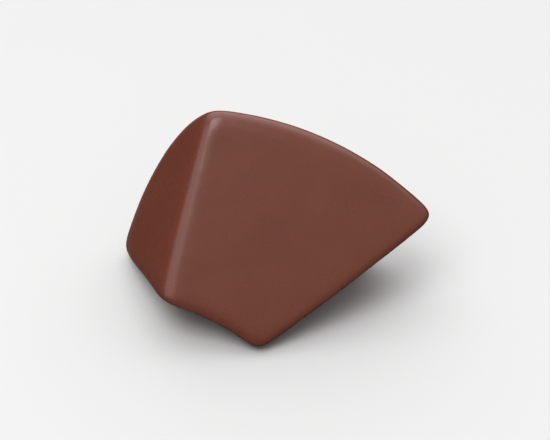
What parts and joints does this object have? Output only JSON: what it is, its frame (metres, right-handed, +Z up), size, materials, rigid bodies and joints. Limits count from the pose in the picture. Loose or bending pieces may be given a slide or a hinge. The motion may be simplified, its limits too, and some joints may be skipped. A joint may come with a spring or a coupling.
{
  "type": "chocolate-dipped apple bite",
  "caption": "Bite-size wedge of apple with flat knife cuts and a curved back, coated all over in satin milk chocolate, resting on a flat side.",
  "frame": {"origin": "on the flat side that the bite rests on, below the middle of its bounding box", "axes": "+Z up from the flat side; +X along the longest extent, towards the pointed corner; the large cut end leans back and faces -Y"},
  "size_m": [0.0384, 0.0228, 0.0241],
  "materials": {
    "milk_chocolate": "satin milk chocolate coating"
  },
  "bodies": {
    "root": {"dipped_bite": "milk_chocolate"}
  },
  "joints": []
}
